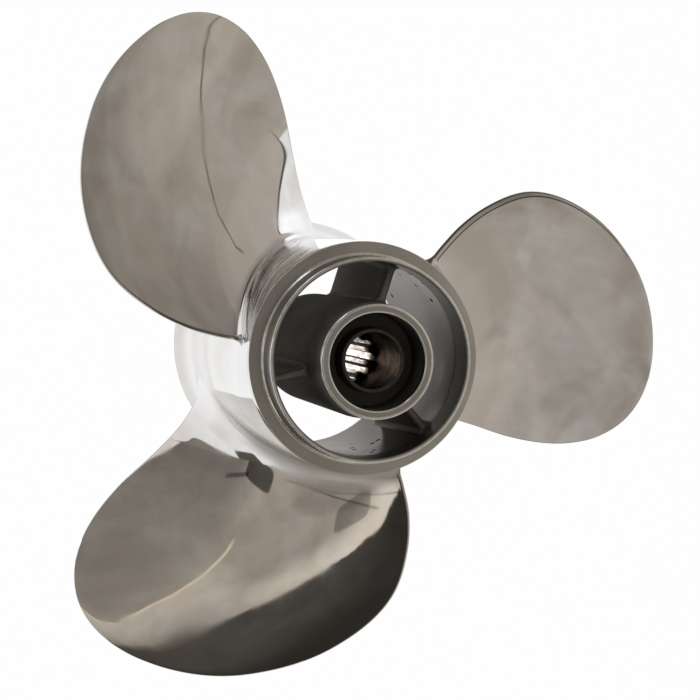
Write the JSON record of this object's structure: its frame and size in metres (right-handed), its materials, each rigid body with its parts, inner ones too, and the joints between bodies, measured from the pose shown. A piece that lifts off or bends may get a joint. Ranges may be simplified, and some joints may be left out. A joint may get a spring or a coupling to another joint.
{
  "type": "outboard motor propeller",
  "caption": "Right-hand stainless outboard propeller: blades on a flared through-hub exhaust barrel, ribs, inner hub tube, rubber bushing and splined sleeve.",
  "frame": {"origin": "on the shaft axis, in the plane of the aft rim that the propeller stands on", "axes": "+Z along the shaft axis towards the forward end, +Y through the first rib"},
  "size_m": [0.2263, 0.2226, 0.1253],
  "materials": {
    "polished_steel": "mirror-polished stainless steel with a light brown cast",
    "cast_steel": "stainless casting, smooth but unpolished, with small pits",
    "machined_steel": "turned stainless steel",
    "sleeve_steel": "turned and broached, light brown stain",
    "bushing_rubber": "matte black moulded rubber"
  },
  "bodies": {
    "root": {"outer_hub": "polished_steel", "blade_1": "polished_steel", "blade_2": "polished_steel", "blade_3": "polished_steel", "rib_1": "cast_steel", "rib_2": "cast_steel", "rib_3": "cast_steel", "inner_hub": "machined_steel", "rubber_bushing": "bushing_rubber", "spline_sleeve": "sleeve_steel"}
  },
  "joints": []
}
